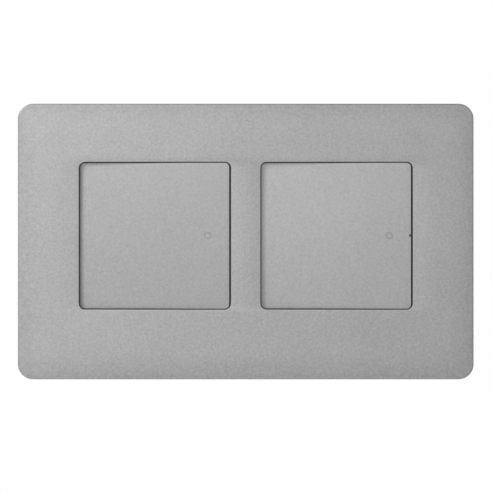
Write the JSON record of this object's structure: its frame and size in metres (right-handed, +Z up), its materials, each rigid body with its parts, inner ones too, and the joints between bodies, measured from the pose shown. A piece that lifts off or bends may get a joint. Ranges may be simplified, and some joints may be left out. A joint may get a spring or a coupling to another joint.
{
  "type": "rocker wall switch",
  "caption": "Rocker wall switch with a satin silver screwless plate, wide square tilting rockers and a rear switch mechanism with wire terminals.",
  "frame": {"origin": "middle of the line through the two fixing screws, on the wall plane", "axes": "+Z up, +X to the right as seen from the room, +Y into the wall, so the rockers face -Y"},
  "size_m": [0.147, 0.0333, 0.0889],
  "materials": {
    "silver_paint": "satin",
    "rocker_silver": "satin",
    "zinc_steel": "satin",
    "screw_steel": "satin",
    "terminal_brass": "satin",
    "blade_copper": "satin",
    "contact_silver": "satin",
    "housing_grey": "matte",
    "cover_white": "satin",
    "carrier_white": "satin",
    "plunger_nylon": "gloss",
    "spring_steel": "gloss",
    "lens_clear": "gloss",
    "led_resin": "gloss",
    "board_green": "satin",
    "lead_black": "satin"
  },
  "bodies": {
    "switch_base": {"front_plate": "silver_paint", "mounting_frame": "zinc_steel", "fixing_screws": "screw_steel", "earth_terminal": "terminal_brass", "earth_screw": "screw_steel", "left_housing": "housing_grey", "left_housing_cover": "cover_white", "left_housing_screws": "screw_steel", "left_com_terminal": "terminal_brass", "left_l1_terminal": "terminal_brass", "left_l2_terminal": "terminal_brass", "left_terminal_screws": "screw_steel", "left_fixed_contacts": "contact_silver", "left_locator_board": "board_green", "left_locator_led": "led_resin", "left_locator_leads": "lead_black", "right_housing": "housing_grey", "right_housing_cover": "cover_white", "right_housing_screws": "screw_steel", "right_com_terminal": "terminal_brass", "right_l1_terminal": "terminal_brass", "right_l2_terminal": "terminal_brass", "right_terminal_screws": "screw_steel", "right_fixed_contacts": "contact_silver", "right_locator_board": "board_green", "right_locator_led": "led_resin", "right_locator_leads": "lead_black"},
    "left_rocker": {"left_rocker": "rocker_silver", "left_locator_lens": "lens_clear", "left_carrier": "carrier_white", "left_plunger_spring": "spring_steel"},
    "left_plunger": {"left_plunger": "plunger_nylon"},
    "left_blade": {"left_contact_blade": "blade_copper", "left_moving_contacts": "contact_silver"},
    "right_rocker": {"right_rocker": "rocker_silver", "right_locator_lens": "lens_clear", "right_carrier": "carrier_white", "right_plunger_spring": "spring_steel"},
    "right_plunger": {"right_plunger": "plunger_nylon"},
    "right_blade": {"right_contact_blade": "blade_copper", "right_moving_contacts": "contact_silver"}
  },
  "joints": [
    {"name": "left_rocker_tilt", "type": "hinge", "parent": "switch_base", "child": "left_rocker", "pos_m": [-0.02928, -0.0053, 0], "axis": [0, 0, 1], "range_deg": [0, 5.2]},
    {"name": "left_plunger_travel", "type": "slide", "parent": "left_rocker", "child": "left_plunger", "axis": [-0.0454, -0.999, 0], "range_m": [0, 0.0012], "stiffness_N_per_m": 1500, "springref_m": -0.002, "deforming": ["left_plunger_spring"]},
    {"name": "left_blade_rock", "type": "hinge", "parent": "switch_base", "child": "left_blade", "pos_m": [-0.02928, 0.0103, 0], "axis": [0, 0, 1], "range_deg": [-15.6, 0]},
    {"name": "right_rocker_tilt", "type": "hinge", "parent": "switch_base", "child": "right_rocker", "pos_m": [0.02928, -0.0053, 0], "axis": [0, 0, 1], "range_deg": [0, 5.2]},
    {"name": "right_plunger_travel", "type": "slide", "parent": "right_rocker", "child": "right_plunger", "axis": [-0.0454, -0.999, 0], "range_m": [0, 0.0012], "stiffness_N_per_m": 1500, "springref_m": -0.002, "deforming": ["right_plunger_spring"]},
    {"name": "right_blade_rock", "type": "hinge", "parent": "switch_base", "child": "right_blade", "pos_m": [0.02928, 0.0103, 0], "axis": [0, 0, 1], "range_deg": [-15.6, 0]}
  ],
  "couplings": [
    {"joint": "left_blade_rock", "follows": "left_rocker_tilt", "ratio": -3},
    {"joint": "right_blade_rock", "follows": "right_rocker_tilt", "ratio": -3}
  ]
}
